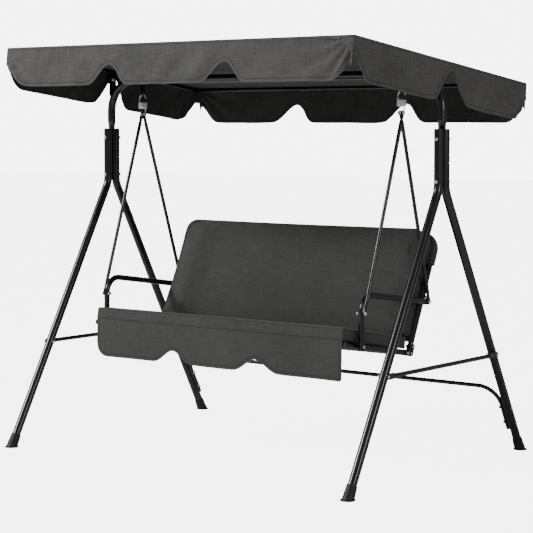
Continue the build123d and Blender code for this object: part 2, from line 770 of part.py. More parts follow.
roof = Pos(0, 0, roof_under) * extrude(
    RectangleRounded(2 * canopy_half_width, 2 * canopy_half_depth, 8), amount=canopy_fabric
)
save("canopy_roof_panel", canopy_place * roof)

skirt_bottom = canopy_roof_rise - canopy_skirt
notch_top = canopy_roof_rise - canopy_notch
end_rise = notch_top - skirt_bottom
front_skirt = skirt(
    canopy_half_width, roof_under, skirt_bottom, notch_top,
    (-canopy_notch_x, canopy_notch_x), end_rise, 84, 10,
)
front_face = Plane(origin=(0, -canopy_half_depth, 0), x_dir=(1, 0, 0), z_dir=(0, -1, 0))
front_panel = extrude(front_face * front_skirt, amount=-canopy_fabric)
save("canopy_front_valance", canopy_place * front_panel)
save("canopy_rear_valance", canopy_place * mirror(front_panel, about=Plane.XZ))

side_skirt = skirt(
    canopy_half_depth - canopy_fabric, roof_under, skirt_bottom, canopy_roof_rise - 30,
    (35,), end_rise, 84, 10,
)
side_panel = plate(side_skirt, canopy_half_width - canopy_fabric, canopy_half_width)
save_pair("canopy_side_valance", canopy_place * side_panel)
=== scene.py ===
"""A garden swing bench with a tilting canopy: cloth, cushions, springs, finishes and stage."""
import json
import math

import bpy
import numpy as np
from bpy.props import FloatProperty, FloatVectorProperty, PointerProperty
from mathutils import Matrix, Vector, noise
from mathutils.bvhtree import BVHTree


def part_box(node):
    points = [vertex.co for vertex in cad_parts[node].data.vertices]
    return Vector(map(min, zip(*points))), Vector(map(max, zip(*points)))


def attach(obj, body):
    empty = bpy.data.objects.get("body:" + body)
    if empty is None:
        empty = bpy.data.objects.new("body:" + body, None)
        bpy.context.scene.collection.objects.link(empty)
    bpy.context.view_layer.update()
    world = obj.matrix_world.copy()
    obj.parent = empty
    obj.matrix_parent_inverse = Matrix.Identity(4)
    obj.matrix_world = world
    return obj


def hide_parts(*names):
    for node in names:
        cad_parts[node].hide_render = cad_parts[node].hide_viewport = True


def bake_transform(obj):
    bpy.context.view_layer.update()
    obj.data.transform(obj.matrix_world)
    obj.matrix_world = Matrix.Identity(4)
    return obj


bl_info = {
    "name": "Canopy Swing Bench",
    "version": (1, 0, 0),
    "blender": (4, 5, 0),
    "location": "View3D > Sidebar > Swing Bench",
    "description": "Makes the cloth, cushions, springs, finishes and stage of a canopy swing bench",
    "category": "Object",
}

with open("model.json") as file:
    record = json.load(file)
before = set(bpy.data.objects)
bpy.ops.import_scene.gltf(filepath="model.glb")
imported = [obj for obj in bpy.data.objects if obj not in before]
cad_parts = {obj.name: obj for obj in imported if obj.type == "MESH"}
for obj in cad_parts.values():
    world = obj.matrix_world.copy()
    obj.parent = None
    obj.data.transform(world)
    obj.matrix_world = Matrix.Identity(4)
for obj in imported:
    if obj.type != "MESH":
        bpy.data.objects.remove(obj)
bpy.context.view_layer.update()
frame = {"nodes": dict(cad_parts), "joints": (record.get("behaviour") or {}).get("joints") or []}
NODES = frame["nodes"]


# ---- places taken from the frame
def middle(node):
    low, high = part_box(node)
    return np.array([(a + b) / 2 for a, b in zip(low, high)])


def extent(node):
    low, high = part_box(node)
    return np.array([b - a for a, b in zip(low, high)])


def joint_place(name):
    return np.array(next(j for j in frame["joints"] if j["name"] == name)["pos_m"], float)


class Place:
    """A local frame that is turned about X: its x stays X, its y and z lie in the YZ plane."""

    def __init__(self, origin, turn):
        self.origin = np.array(origin, float)
        c, s = math.cos(turn), math.sin(turn)
        self.axes = np.array([[1, 0, 0], [0, c, s], [0, -s, c]])

    def out(self, points):
        return np.asarray(points, float) @ self.axes + self.origin

    def into(self, points):
        return (np.asarray(points, float) - self.origin) @ self.axes.T


def turn_between(low, high):
    """The turn about X that lays +Y along the line from low to high."""
    return math.atan2(high[2] - low[2], high[1] - low[1])


PIVOT = joint_place("canopy_tilt")
CANOPY = Place(PIVOT, turn_between(middle("canopy_front_bar"), middle("canopy_rear_bar")))
SEAT = Place(
    middle("seat_front_rail") * (0, 1, 1),
    turn_between(middle("seat_front_rail"), middle("seat_rear_rail")),
)
RAIL_R = extent("seat_side_rail_right")[0] / 2
SLING_FOOT = 0.040      # how far up the back its sling starts
CAD_SLING = 0.002       # thickness of the CAD sling
SLING_GAP = 0.0003      # between the CAD sling and the tubes it lies on


def back_place():
    """The local frame of the back: y runs up the back and z towards the sitter."""
    low, high = (np.array(c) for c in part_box("back_sling"))
    # The box includes the sling's own thickness, so the lean is found in a few rounds.
    lean = math.radians(24)
    for _ in range(6):
        run = high[1] - low[1] - CAD_SLING * math.cos(lean)
        rise = high[2] - low[2] - CAD_SLING * math.sin(lean)
        lean = math.atan2(run, rise)
    place = Place((0, low[1] + CAD_SLING * math.cos(lean), low[2]), math.pi / 2 - lean)
    # The origin is on the centre lines of the tubes, which are behind the sling.
    place.origin = place.out((0, -SLING_FOOT, -RAIL_R - SLING_GAP))
    return place


BACK = back_place()


def points_of(obj):
    points = np.zeros(len(obj.data.vertices) * 3, np.float32)
    obj.data.vertices.foreach_get("co", points)
    return points.reshape(-1, 3).astype(float)


def set_points(obj, points):
    obj.data.vertices.foreach_set("co", np.asarray(points, np.float32).ravel())
    obj.data.update()


def local_box(place, node):
    """Lowest and highest corner of a CAD node's own points in a local frame."""
    local = place.into(points_of(NODES[node]))
    return local.min(0), local.max(0)


# ---- settings
def length(name, description, default, least=0.0):
    return FloatProperty(
        name=name, description=description, default=default, min=least, unit="LENGTH"
    )


def colour(name, finish, default):
    return FloatVectorProperty(
        name=name, description=f"Colour of the {finish}", subtype="COLOR", size=3,
        default=default, min=0, max=1,
    )


class SWING_PG_sizes(bpy.types.PropertyGroup):
    """Sizes of the cloth and the wire."""

    cloth: length("Cloth thickness", "Thickness of the canopy's polyester", 0.0012, 0.0004)
    roof_sag: length("Roof sag", "How far the middle of the roof hangs below its edges", 0.009)
    puff: length("Cushion swell", "The most that a cushion's cover may swell", 0.009)
    cord: length("Seam cord", "Radius of the cord sewn into the cushions' seams", 0.0016, 0.0005)


class SWING_PG_colours(bpy.types.PropertyGroup):
    """Colours of the finishes."""

    canopy: colour("Canopy", "canopy's polyester", (0.0685, 0.0675, 0.0635))
    cushion: colour("Cushion", "cushions' polyester", (0.0495, 0.0492, 0.0455))
    frame: colour("Frame", "powder coat", (0.0055, 0.0055, 0.006))
    zinc: colour("Zinc", "plated bolts and springs", (0.66, 0.67, 0.69))


# ---- shader maths
MATERIALS = {}


class Sock:
    """A socket, or a number, with arithmetic that adds Math nodes."""

    def __init__(self, tree, value):
        self.tree, self.value = tree, value

    def _math(self, kind, *others):
        node = self.tree.nodes.new("ShaderNodeMath")
        node.operation = kind
        for socket, item in zip(node.inputs, (self, *others)):
            item = item.value if isinstance(item, Sock) else item
            if isinstance(item, (int, float)):
                socket.default_value = item
            else:
                self.tree.links.new(item, socket)
        return Sock(self.tree, node.outputs[0])

    def __add__(self, other):
        return self._math("ADD", other)

    __radd__ = __add__

    def __mul__(self, other):
        return self._math("MULTIPLY", other)

    __rmul__ = __mul__

    def __sub__(self, other):
        return self._math("SUBTRACT", other)

    def __rsub__(self, other):
        return Sock(self.tree, other)._math("SUBTRACT", self)

    def sine(self):
        return self._math("SINE")

    def size(self):
        return self._math("ABSOLUTE")

    def step(self, low, high):
        """0 below low, 1 above high, smooth between."""
        node = self.tree.nodes.new("ShaderNodeMapRange")
        node.interpolation_type = "SMOOTHSTEP"
        self.tree.links.new(self.value, node.inputs["Value"])
        node.inputs["From Min"].default_value = low
        node.inputs["From Max"].default_value = high
        return Sock(self.tree, node.outputs["Result"])


class Shader:
    """One material and the ways to add nodes to it."""

    def __init__(self, name):
        self.material = bpy.data.materials.new(name)
        self.material.use_nodes = True
        self.tree = self.material.node_tree
        self.bsdf = self.tree.nodes["Principled BSDF"]
        MATERIALS[name] = self.material

    def node(self, kind, settings=None, **sockets):
        made = self.tree.nodes.new(kind)
        for key, value in (settings or {}).items():
            setattr(made, key, value)
        for key, value in sockets.items():
            self.put(made.inputs[key.replace("_", " ")], value)
        return made

    def put(self, socket, value):
        value = value.value if isinstance(value, Sock) else value
        if isinstance(value, bpy.types.NodeSocket):
            self.tree.links.new(value, socket)
        else:
            socket.default_value = value

    def sock(self, socket):
        return Sock(self.tree, socket)

    def split(self, vector):
        parts = self.node("ShaderNodeSeparateXYZ", Vector=vector).outputs
        return [self.sock(part) for part in parts]

    def noise(self, vector, scale, detail=2.0, roughness=0.5, stretch=None):
        if stretch:
            vector = self.node("ShaderNodeMapping", Vector=vector, Scale=stretch).outputs[0]
        made = self.node(
            "ShaderNodeTexNoise", Vector=vector, Scale=scale, Detail=detail, Roughness=roughness
        )
        return self.sock(made.outputs["Fac"])

    def mix(self, factor, a, b):
        made = self.tree.nodes.new("ShaderNodeMix")
        made.data_type = "RGBA"
        self.put(made.inputs[0], factor)
        self.put(made.inputs[6], a)
        self.put(made.inputs[7], b)
        return made.outputs[2]

    def surface(self, **values):
        for key, value in values.items():
            self.put(self.bsdf.inputs[key.replace("_", " ")], value)

    def bump(self, height, distance, strength=1.0):
        made = self.node(
            "ShaderNodeBump", Height=height.value, Distance=distance, Strength=strength
        )
        self.surface(Normal=made.outputs["Normal"])


def rgba(colour, times=1.0):
    return (*[min(1.0, c * times) for c in colour], 1.0)


def make_cloth(name, colour, thread, stitched, slub=0.47):
    """Plain-woven polyester with slubs, on the piece's own UV map in metres."""
    s = Shader(name)
    uv = s.node("ShaderNodeUVMap", {"uv_map": "cloth"}).outputs["UV"]
    across, along, _ = s.split(uv)
    warp = (across * (2 * math.pi / thread)).sine()
    weft = (along * (2 * math.pi / thread)).sine()
    weave = (warp * weft) * 0.5 + 0.5
    slub_up = s.noise(uv, 1.0, 3.0, 0.65, stretch=(420.0, 14.0, 1.0))
    slub_across = s.noise(uv, 1.0, 3.0, 0.65, stretch=(14.0, 420.0, 1.0))
    cloudy = s.noise(uv, 3.5, 3.0, 0.6)
    tone = slub_up * 0.48 + slub_across * 0.48 + cloudy * 0.24 + weave * 0.08
    shade = tone.step(0.44, 0.80)
    base = s.mix(shade, rgba(colour, 1 - slub), rgba(colour, 1 + slub))
    height = weave * 0.5 + slub_up * 0.35 + slub_across * 0.35
    if stitched:
        hem = s.sock(s.node("ShaderNodeAttribute", {"attribute_name": "hem"}).outputs["Fac"])
        run = s.sock(s.node("ShaderNodeAttribute", {"attribute_name": "run"}).outputs["Fac"])
        line = 1 - (hem - 0.0105).size().step(0.0005, 0.0014)
        dash = (run * (2 * math.pi / 0.0036)).sine().step(-0.5, 0.2)
        stitch = line * dash
        base = s.mix(stitch * 0.55, base, rgba(colour, 1.9))
        # Painted shade: the groove beside the stitching is darkened in colour, as well as pressed
        # in by the bump.
        shaded_groove = 1 - (hem - 0.0115).size().step(0.0005, 0.0038)
        base = s.mix(shaded_groove * 0.62, base, rgba(colour, 0.36))
        # Painted highlight: the cloth is lightened along the very edge of the hem.
        edge = 1 - hem.step(0.0, 0.0035)
        base = s.mix(edge * 0.45, base, rgba(colour, 1.9))
        height = height - shaded_groove * 1.2 + stitch * 0.9
    s.surface(
        Base_Color=base, Roughness=0.86 + 0.10 * shade, Specular_IOR_Level=0.28,
        Sheen_Weight=0.10, Sheen_Roughness=0.45,
    )
    s.bump(height, 0.0004, 0.9)


def make_powder_coat(colour):
    """Satin black powder coat: a fine orange peel, with slightly duller patches."""
    s = Shader("powder_coat")
    at = s.node("ShaderNodeTexCoord").outputs["Object"]
    peel = s.noise(at, 900.0, 2.0, 0.55)
    patch = s.noise(at, 14.0, 3.0, 0.6)
    s.surface(
        Base_Color=s.mix(patch, rgba(colour, 0.85), rgba(colour, 1.35)),
        Roughness=0.20 + 0.10 * patch, Specular_IOR_Level=0.45, Coat_Weight=0.10,
        Coat_Roughness=0.08,
    )
    s.bump(peel, 0.00012, 0.6)


def make_plastic(colour):
    """Fine-grained black moulding."""
    s = Shader("moulded_plastic")
    at = s.node("ShaderNodeTexCoord").outputs["Object"]
    grain = s.noise(at, 1600.0, 2.0, 0.6)
    scuff = s.noise(at, 60.0, 4.0, 0.6)
    s.surface(
        Base_Color=s.mix(scuff.step(0.45, 0.8), rgba(colour, 1.3), rgba(colour, 2.2)),
        Roughness=0.48 + 0.16 * scuff, Specular_IOR_Level=0.4,
    )
    s.bump(grain, 0.0001, 0.7)


def make_zinc(name, colour, metallic):
    """Bright zinc plate with faint clouding."""
    s = Shader(name)
    at = s.node("ShaderNodeTexCoord").outputs["Object"]
    cloud = s.noise(at, 220.0, 3.0, 0.6)
    s.surface(
        Base_Color=s.mix(cloud, rgba(colour, 0.9), rgba(colour, 1.1)), Metallic=metallic,
        Roughness=0.20 + 0.16 * cloud,
    )
    s.bump(cloud, 0.00005, 0.5)


def make_sling(colour):
    """Open-weave sling fabric: coarse plastic-coated yarn."""
    s = Shader("sling_weave")
    uv = s.node("ShaderNodeUVMap", {"uv_map": "cloth"}).outputs["UV"]
    across, along, _ = s.split(uv)
    yarn = 2 * math.pi / 0.0022
    over = (across * yarn).sine() * (along * yarn).sine()
    # Painted shade: the low spots of the weave, where the bump sinks between raised yarns, are
    # coloured darker.
    mask = over.step(-0.15, 0.35)
    s.surface(
        Base_Color=s.mix(mask, rgba(colour, 0.35), rgba(colour, 0.8)),
        Roughness=0.55 + 0.2 * mask, Specular_IOR_Level=0.35,
    )
    s.bump(over, 0.0005, 0.8)


# ---- mesh helpers
def deselect_all():
    for o in bpy.context.selected_objects:
        o.select_set(False)


def activate(obj):
    deselect_all()
    obj.select_set(True)
    bpy.context.view_layer.objects.active = obj


def apply_all(obj):
    activate(obj)
    for modifier in list(obj.modifiers):
        bpy.ops.object.modifier_apply(modifier=modifier.name)


def smooth_by_angle(obj, degrees):
    activate(obj)
    bpy.ops.object.shade_smooth_by_angle(angle=math.radians(degrees))


def face_outwards(obj):
    activate(obj)
    bpy.ops.object.mode_set(mode="EDIT")
    bpy.ops.mesh.select_all(action="SELECT")
    bpy.ops.mesh.normals_make_consistent(inside=False)
    bpy.ops.object.mode_set(mode="OBJECT")


def new_mesh(name, points, faces):
    mesh = bpy.data.meshes.new(name)
    mesh.from_pydata([tuple(map(float, p)) for p in points], [], [tuple(f) for f in faces])
    mesh.validate()
    obj = bpy.data.objects.new(name, mesh)
    bpy.context.scene.collection.objects.link(obj)
    return obj


def add_value(obj, name, values):
    attribute = obj.data.attributes.new(name, "FLOAT", "POINT")
    attribute.data.foreach_set("value", np.asarray(values, np.float32))


def set_uv(obj, per_point):
    """A UV map called cloth, in metres, from one (u, v) for each point."""
    layer = obj.data.uv_layers.new(name="cloth")
    index = np.zeros(len(obj.data.loops), np.int32)
    obj.data.loops.foreach_get("vertex_index", index)
    layer.data.foreach_set("uv", np.asarray(per_point, np.float32)[index].ravel())


def set_box_uv(obj, place):
    """A UV map in metres that looks straight at each face in the local frame."""
    mesh = obj.data
    local = place.into(points_of(obj))
    layer = mesh.uv_layers.new(name="cloth")
    for face in mesh.polygons:
        normal = np.abs(place.axes @ np.array(face.normal))
        a, b = ((1, 2), (0, 2), (0, 1))[int(normal.argmax())]
        for loop in face.loop_indices:
            point = local[mesh.loops[loop].vertex_index]
            layer.data[loop].uv = (point[a], point[b])


def thicken(obj, thickness, shaded_inner_face=0):
    """Give a sheet two faces. The last argument is 1 where the inner face has a finish of its own;
    the canopy's is a darker copy of its cloth, painted shade.
    """
    made = obj.modifiers.new("wall", "SOLIDIFY")
    made.thickness, made.offset = thickness, 0.0
    made.material_offset = shaded_inner_face
    made.use_even_offset = False
    apply_all(obj)


def paint(obj, *names):
    obj.data.materials.clear()
    for name in names:
        obj.data.materials.append(MATERIALS[name])


def dense(stops, coarse, fine=0.0055, reach=0.10):
    """Values from stops[0] to stops[-1], fine within reach of a stop and coarse elsewhere."""
    values = [stops[0]]
    while values[-1] < stops[-1] - fine / 2:
        near = min(abs(values[-1] + coarse / 2 - s) for s in stops)
        values.append(values[-1] + (fine if near < reach else coarse))
    values = np.array(values)
    return stops[0] + (values - values[0]) * (stops[-1] - stops[0]) / (values[-1] - values[0])


def ease(t):
    t = np.clip(t, 0, 1)
    return t * t * (3 - 2 * t)


# ---- canopy
CORNER_R = 0.010        # plan radius of the cover over the corner connectors
EDGE_R = 0.006          # the bend from roof to skirt
FRONT_NOTCH = 0.269
SIDE_NOTCH = 0.035
NOTCH_DROP = 0.074
CORNER_DROP = 0.064
SIDE_NOTCH_DROP = 0.030
SAG_REACH = (0.783, 0.552)      # the roof sags inside these half spans, in x and u
SKIRT_ROWS = 17
BEND_STEPS = 4          # rows in the bend from roof to skirt
CORNER_STEPS = 5        # steps round a corner, seen from above
SKIRT_LEAN = 0.045      # how far the skirt hangs back for each metre down
COVER_PANELS = (
    "canopy_roof_panel", "canopy_front_valance", "canopy_rear_valance",
    "canopy_side_valance_left", "canopy_side_valance_right",
)


def hem_line(x, deep, notches, tip=0.006):
    """Depth of the hem at x. A notch is (place, depth, flank before it, flank after it, sweep).

    A sweep of 1 gives an even S-shaped flank, and more lets the flank flatten out sooner.
    """
    x = np.asarray(x, float)
    line = np.full(x.shape, deep)
    for place, shallow, before, after, sweep in notches:
        gap = x - place
        t = np.clip((np.abs(gap) - tip) / np.where(gap < 0, before, after), 0, 1)
        t = 1 - (1 - t) ** sweep
        rise = 0.22 * t + 0.78 * ease(t)
        line = np.minimum(line, shallow + (deep - shallow) * rise)
    # The tips and the lobes' corners are rounded by averaging over a few columns.
    for _ in range(5):
        middle_part = (line[:-2] + 2 * line[1:-1] + line[2:]) / 4
        line = np.concatenate((line[:1], middle_part, line[-1:]))
    return line


def fan(distance, depth, phase):
    """Creases that spread from a top corner over a skirt."""
    reach = np.hypot(distance, depth)
    angle = np.arctan2(depth, np.maximum(distance, 1e-6))
    window = ease((reach - 0.025) / 0.05) * (1 - ease((reach - 0.16) / 0.17))
    return np.sin(angle * 17 + phase + reach * 9) * window


def crumple(place, depth, seed):
    """Soft slanting creases, faint near the bars and deeper towards the hem."""
    slant = place + 0.8 * depth
    wide_part = noise.noise(Vector((slant * 9, depth * 5, seed)))
    fine_part = noise.noise(Vector((slant * 24, depth * 8, seed + 9)))
    return (0.0115 * wide_part + 0.0050 * fine_part) * min(1.0, depth / 0.07)


def skirt_push(side, place, depth, deep, wide, long):
    """How far the skirt stands out. Sides 0 to 3 are front, right, rear and left."""
    t = depth / deep
    low = t**1.4
    if side == 0:
        push = 0.0052 * math.sin(place * 7.1 + 0.6) + 0.0034 * math.sin(place * 17.3 + 2.0)
        push -= 0.0065 * math.exp(-((place + 0.38) / 0.075) ** 2)
        push = push * low + 0.0046 * fan(wide - place, depth, 0.4)
        return push + (0.0030 * fan(wide + place, depth, 2.0) + crumple(place, depth, 0.4))
    if side == 2:
        push = 0.005 * math.sin(place * 8.3 + 1.4) + 0.002 * math.sin(place * 21 + 0.3)
        push = push * low + 0.003 * fan(wide - abs(place), depth, 1.1)
        return push + crumple(place, depth, 2.7)
    if side in (1, 3):
        push = 0.0032 * (1 + math.sin(place * 9.7 + side)) * low
        rear = ease((place - 0.33) / 0.10)
        push += 0.0050 * rear * (1 + math.sin(place * 2 * math.pi / 0.047 + 0.8 * t)) * low
        push += 0.0022 * (1 + fan(long - abs(place), depth, 0.3 + side)) * low
        return push + (0.002 * low + crumple(place, depth, 5.3 + side) * min(1.0, 3 * low))
    return 0.002 * low          # round a corner


class SWING_OT_canopy(bpy.types.Operator):
    """Make the canopy's cover: one sheet over the bars, with a lobed skirt all round"""

    bl_idname = "swing.canopy"
    bl_label = "Canopy cover"

    def execute(self, context):
        wall = context.scene.swing_sizes.cloth
        sag = context.scene.swing_sizes.roof_sag
        _, high = local_box(CANOPY, "canopy_roof_panel")
        skirt_low, _ = local_box(CANOPY, "canopy_front_valance")
        wide, long, top = high[0] - wall / 2, high[1] - wall / 2, high[2] - wall / 2
        deep = top - skirt_low[2]
        a, b = wide - CORNER_R, long - CORNER_R
        xs = dense([-a, -FRONT_NOTCH, FRONT_NOTCH, a], 0.015)
        us = dense([-b, SIDE_NOTCH, b], 0.015)
        points, uv, hem, run = [], [], [], []

        def add(x, u, n, map_at, hem_at, run_at):
            points.append((x, u, n))
            uv.append(map_at)
            hem.append(hem_at)
            run.append(run_at)
            return len(points) - 1

        ripple = 0.0016
        roof = {}
        for i, x in enumerate(xs):
            for j, u in enumerate(us):
                sx = max(0.0, 1 - (x / SAG_REACH[0]) ** 2)
                su = max(0.0, 1 - (u / SAG_REACH[1]) ** 2)
                wave = noise.noise(Vector((x * 3.1, u * 5.0, 0.7))) * 2
                n = top - sag * (sx * su) ** 0.7 + ripple * wave * min(1.0, 4 * sx * su)
                from_side, from_end = wide - abs(x), long - abs(u)
                roof[i, j] = add(
                    x, u, n, (x, u), min(from_side, from_end) + 0.004,
                    x if from_end < from_side else u,
                )
        faces = []
        for i in range(len(xs) - 1):
            for j in range(len(us) - 1):
                faces.append((roof[i, j], roof[i + 1, j], roof[i + 1, j + 1], roof[i, j + 1]))

        # Hem lines: front and rear share one, and the two sides share one.
        ends = (-wide, CORNER_DROP, 0.1, 0.125, 1.5), (wide, CORNER_DROP, 0.120, 0.1, 2.5)
        long_hem = lambda x: hem_line(x, deep, [
            *ends, (-FRONT_NOTCH, NOTCH_DROP, 0.112, 0.076, 1.15),
            (FRONT_NOTCH, NOTCH_DROP, 0.112, 0.078, 1.15),
        ])
        side_hem = lambda u: hem_line(u, deep, [
            (-long, CORNER_DROP, 0.1, 0.080, 1.5), (long, CORNER_DROP, 0.118, 0.1, 1.5),
            (SIDE_NOTCH, SIDE_NOTCH_DROP, 0.112, 0.084, 1.1),
        ])
        last_x, last_u = len(xs) - 1, len(us) - 1
        # Each step of the ring is (grid vertex, x, u, facing, side, place along the side).
        # A side that ends in a half is the corner after that side.
        ring = []
        quarter = math.pi / 2
        edges = (
            [(i, 0) for i in range(last_x + 1)],
            [(last_x, j) for j in range(last_u + 1)],
            [(i, last_u) for i in range(last_x, -1, -1)],
            [(0, j) for j in range(last_u, -1, -1)],
        )
        for side, cells in enumerate(edges):
            facing = -quarter + side * quarter
            for i, j in cells:
                place = xs[i] if side % 2 == 0 else us[j]
                ring.append((roof[i, j], xs[i], us[j], facing, side, place))
            i, j = cells[-1]
            for k in range(1, CORNER_STEPS):
                turn = facing + k / CORNER_STEPS * quarter
                ring.append((roof[i, j], xs[i], us[j], turn, side + 0.5, 0.0))

        along = np.array([c[5] for c in ring])
        sides = np.array([c[4] for c in ring])
        drop = np.where(sides % 2 == 0, long_hem(along), side_hem(along))
        drop = np.where(sides % 1 != 0, CORNER_DROP, drop)
        slope = np.zeros(len(ring))
        for side in range(4):
            pick = sides == side
            slope[pick] = np.gradient(drop[pick], along[pick])
        columns = []
        for c, (grid, x, u, facing, side, place) in enumerate(ring):
            at = np.array((x, u))
            out = np.array((math.cos(facing), math.sin(facing)))
            column = [grid]
            for k in range(1, BEND_STEPS + 1):
                angle = k / BEND_STEPS * quarter
                reach = CORNER_R - EDGE_R + EDGE_R * math.sin(angle)
                fall = EDGE_R * (1 - math.cos(angle))
                px, pu = at + out * reach
                column.append(add(
                    px, pu, top - fall, tuple(at + out * (reach + fall)), 0.006, place,
                ))
            for k in range(1, SKIRT_ROWS + 1):
                depth = EDGE_R + (drop[c] - EDGE_R) * k / SKIRT_ROWS
                push = skirt_push(side, place, depth, deep, wide, long)
                px, pu = at + out * (CORNER_R + push)
                # The skirt hangs nearer to plumb than square to the tilted roof.
                pu += SKIRT_LEAN * max(0.0, depth - 0.03)
                near_hem = (drop[c] - depth) / math.sqrt(1 + slope[c] ** 2)
                column.append(add(
                    px, pu, top - depth, tuple(at + out * (CORNER_R + depth)),
                    min(near_hem, depth + 0.004), place,
                ))
            columns.append(column)
        for c in range(len(columns)):
            left, right = columns[c], columns[(c + 1) % len(columns)]
            for k in range(len(left) - 1):
                quad = [left[k], left[k + 1], right[k + 1], right[k]]
                if quad[0] == quad[3]:
                    quad = quad[:3]
                if len(set(quad)) > 2:
                    faces.append(tuple(quad))
        cover = new_mesh("canopy_cover", CANOPY.out(np.array(points)), faces)
        set_uv(cover, uv)
        add_value(cover, "hem", hem)
        add_value(cover, "run", run)
        face_outwards(cover)
        # The inner face gets the darker copy of the cloth: painted shade under the canopy.
        paint(cover, "canopy_cloth", "canopy_lining")
        thicken(cover, wall, shaded_inner_face=1)
        smooth_by_angle(cover, 50)
        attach(cover, "canopy")
        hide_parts(*COVER_PANELS)
        2 * (wide + deep)
        2 * (long + deep)
        return {"FINISHED"}


# ---- cushions
def box_between(name, low, high):
    deselect_all()
    bpy.ops.mesh.primitive_cube_add(size=1, location=tuple((np.array(low) + high) / 2))
    box = bpy.context.object
    box.name = name
    box.scale = tuple(np.array(high) - low)
    bpy.ops.object.transform_apply(location=True, rotation=False, scale=True)
    return box


def bevel_edges(obj, width, segments, chosen):
    """Bevel the active object's edges that chosen(a, b) picks by their two end points."""
    mesh = obj.data
    spots = [np.array(v.co) for v in mesh.vertices]
    picks = [bool(chosen(*(spots[v] for v in edge.vertices))) for edge in mesh.edges]
    for item in (*mesh.polygons, *mesh.vertices):
        item.select = False
    for edge, pick in zip(mesh.edges, picks):
        edge.select = pick
    bpy.context.tool_settings.mesh_select_mode = (False, True, False)
    bpy.ops.object.mode_set(mode="EDIT")
    bpy.ops.mesh.bevel(offset=width, segments=segments, affect="EDGES")
    bpy.ops.mesh.select_all(action="DESELECT")
    bpy.ops.object.mode_set(mode="OBJECT")


def blank(name, low, high, corner, rim, both_rims, low_corner=None):
    """A block between two corners, with rounded upright edges and softened rims.

    low_corner is the radius of the two corners at the low end of y, where it differs.
    """
    block = box_between(name, low, high)
    deep = high[2] - low[2]

    def upright(a, b):
        return abs(a[2] - b[2]) > deep * 0.5 and abs(a[0]) > abs(high[0]) - 1e-5

    def on_rim(a, b):
        return abs(a[2] - b[2]) < 1e-6 and (both_rims or a[2] > low[2] + deep / 2)

    bevel_edges(block, corner, 8, lambda a, b: upright(a, b) and a[1] > high[1] - 1e-5)
    bevel_edges(
        block, low_corner or corner, 8, lambda a, b: upright(a, b) and a[1] < low[1] + 1e-5,
    )
    bevel_edges(block, rim, 3, on_rim)
    return block


def voxel(obj, size):
    activate(obj)
    obj.data.remesh_voxel_size = size
    obj.data.use_remesh_fix_poles = False
    bpy.ops.object.voxel_remesh()


def inflate(obj, pinned, cap, pressure=4.0):
    """Swell a closed form under pressure, then hold each point within cap of where it was."""
    before = points_of(obj)
    activate(obj)
    group = obj.vertex_groups.new(name="pinned")
    group.add([int(i) for i in np.nonzero(pinned)[0]], 1.0, "REPLACE")
    cloth = obj.modifiers.new("cloth", "CLOTH")
    cloth.settings.use_pressure = True
    cloth.settings.uniform_pressure_force = pressure
    cloth.settings.effector_weights.gravity = 0.0
    cloth.settings.vertex_group_mass = "pinned"
    cloth.settings.quality = 4
    cloth.settings.tension_stiffness = 22
    cloth.settings.compression_stiffness = 22
    cloth.settings.bending_stiffness = 0.6
    cloth.collision_settings.use_collision = False
    cloth.point_cache.frame_start, cloth.point_cache.frame_end = 1, 20
    for number in range(1, 21):
        bpy.context.scene.frame_set(number)
    apply_all(obj)
    bpy.context.scene.frame_set(1)
    after = points_of(obj)
    obj.vertex_groups.clear()
    move = after - before
    length = np.linalg.norm(move, axis=1, keepdims=True)
    cap = np.asarray(cap, float).reshape(-1, 1) if np.ndim(cap) else cap
    set_points(obj, before + move * np.minimum(1, cap / np.maximum(length, 1e-9)))


def tube(name, path, radius, sides=8, closed=True):
    """A round cord or wire along a path of points, each ring square to the path."""
    path = np.asarray(path, float)
    count = len(path)
    if closed:
        ahead = np.roll(path, -1, 0) - np.roll(path, 1, 0)
    else:
        ahead = np.gradient(path, axis=0)
    ahead /= np.linalg.norm(ahead, axis=1, keepdims=True)
    side = np.cross(ahead[0], (0.3, 0.5, 0.81))
    rings = []
    for i in range(count):
        side = side - ahead[i] * (side @ ahead[i])
        side /= np.linalg.norm(side)
        up = np.cross(ahead[i], side)
        turn = np.arange(sides) / sides * 2 * math.pi
        rings.append(path[i] + radius * (np.outer(np.cos(turn), side) + np.outer(np.sin(turn), up)))
    points = np.concatenate(rings)
    faces = []
    for i in range(count if closed else count - 1):
        j = (i + 1) % count
        for k in range(sides):
            m = (k + 1) % sides
            faces.append((i * sides + k, i * sides + m, j * sides + m, j * sides + k))
    if not closed:
        faces.append(tuple(range(sides))[::-1])
        faces.append(tuple((count - 1) * sides + k for k in range(sides)))
    obj = new_mesh(name, points, faces)
    face_outwards(obj)
    smooth_by_angle(obj, 60)
    return obj


def snapped(obj, path, lift=0.0):
    """The path moved to the nearest places on a piece's surface."""
    tree = BVHTree.FromPolygons(
        [v.co for v in obj.data.vertices], [tuple(f.vertices) for f in obj.data.polygons]
    )
    placed = []
    for point in path:
        spot, normal, _, _ = tree.find_nearest(Vector(point))
        placed.append(np.array(spot) + np.array(normal) * lift)
    placed = np.array(placed)
    return (np.roll(placed, 1, 0) + placed * 2 + np.roll(placed, -1, 0)) / 4


def loop_path(low, high, level, corner, step=0.012):
    """A closed rounded rectangle in local x and y at a local z."""
    x0, y0, x1, y1 = low[0], low[1], high[0], high[1]
    path = []
    for cx, cy, start in (
        (x1 - corner, y0 + corner, -90), (x1 - corner, y1 - corner, 0),
        (x0 + corner, y1 - corner, 90), (x0 + corner, y0 + corner, 180),
    ):
        for k in range(7):
            angle = math.radians(start + 15 * k)
            path.append((cx + corner * math.cos(angle), cy + corner * math.sin(angle), level))
    full = []
    for p, q in zip(path, path[1:] + path[:1]):
        p, q = np.array(p), np.array(q)
        count = max(1, int(np.linalg.norm(q - p) / step))
        full += [p + (q - p) * k / count for k in range(count)]
    return np.array(full)


